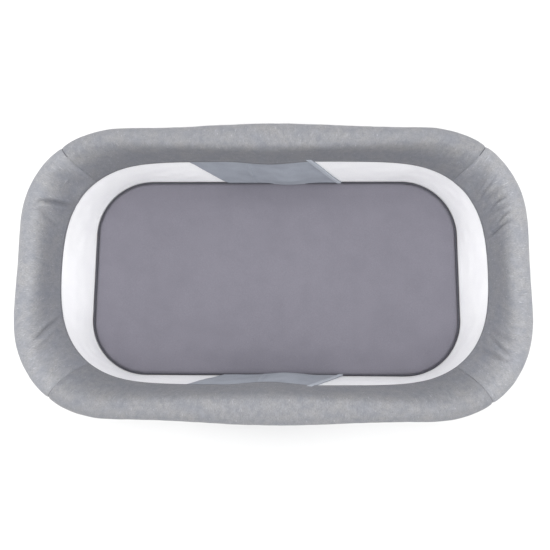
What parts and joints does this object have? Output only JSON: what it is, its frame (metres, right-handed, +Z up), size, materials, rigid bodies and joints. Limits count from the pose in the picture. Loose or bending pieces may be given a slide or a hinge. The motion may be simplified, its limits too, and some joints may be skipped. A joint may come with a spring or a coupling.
{
  "type": "changing pad in padded tub",
  "caption": "Padded soft-walled tub with a steel rim frame and a flat foam changing pad that lifts out.",
  "frame": {"origin": "on the floor, under the middle of the tub", "axes": "+X along the tub, with the side panels' lower edges shifted towards +X; +Y to the back; +Z up"},
  "size_m": [0.88, 0.51, 0.22],
  "materials": {
    "heather_fabric": "heathered light grey woven polyester, matt",
    "white_mesh": "fine white polyester net",
    "panel_fabric": "smooth blue-grey woven polyester",
    "pad_fabric": "fine purple-grey knit, matt",
    "piping": "dark grey piping",
    "floor_fabric": "dark grey woven polyester",
    "hook_and_loop": "dark grey hook and loop",
    "zip_tape": "dark grey woven tape with nylon coil",
    "foam": "off-white soft foam",
    "frame_steel": "grey powder coat",
    "coupling_plastic": "dark grey moulded nylon, fine grain",
    "zinc": "zinc plated",
    "base_board": "plain fibre board",
    "foot_rubber": "black rubber, matt"
  },
  "bodies": {
    "tub": {"rim_hoop_left": "frame_steel", "rim_hoop_right": "frame_steel", "rim_coupling_front": "coupling_plastic", "rim_coupling_back": "coupling_plastic", "rim_rivets": "zinc", "upright_front_left": "frame_steel", "upright_front_right": "frame_steel", "upright_back_left": "frame_steel", "upright_back_right": "frame_steel", "base_bracket_front": "coupling_plastic", "base_bracket_back": "coupling_plastic", "bracket_screws": "zinc", "base_board": "base_board", "foot_front_left": "foot_rubber", "foot_front_right": "foot_rubber", "foot_back_left": "foot_rubber", "foot_back_right": "foot_rubber", "foot_screws": "zinc", "floor_fabric": "floor_fabric", "floor_loop_tabs": "hook_and_loop", "rim_foam_left": "foam", "rim_foam_right": "foam", "rim_foam_front": "foam", "rim_foam_back": "foam", "rim_cover_left": "heather_fabric", "rim_cover_right": "heather_fabric", "rim_cover_front": "heather_fabric", "rim_cover_back": "heather_fabric", "rim_skirt_left": "heather_fabric", "rim_skirt_right": "heather_fabric", "rim_skirt_front": "heather_fabric", "rim_skirt_back": "heather_fabric", "mesh_wall_left": "white_mesh", "mesh_wall_right": "white_mesh", "side_panel_front": "panel_fabric", "side_panel_back": "panel_fabric", "lower_band_left": "panel_fabric", "lower_band_right": "panel_fabric"},
    "pad": {"pad_foam": "foam", "pad_cover_top": "pad_fabric", "pad_side_band": "pad_fabric", "pad_cover_base": "pad_fabric", "pad_piping_top": "piping", "pad_piping_bottom": "piping", "pad_zip_tapes": "zip_tape", "pad_zip_stops": "zinc", "pad_hook_tabs": "hook_and_loop"},
    "zip_slider": {"zip_slider": "zinc"}
  },
  "joints": [
    {"name": "pad_lift", "type": "slide", "parent": "tub", "child": "pad", "axis": [0, 0, 1], "range_m": [0, 0.25]},
    {"name": "zip_slide", "type": "slide", "parent": "pad", "child": "zip_slider", "axis": [0, 1, 0], "range_m": [0, 0.2]}
  ]
}
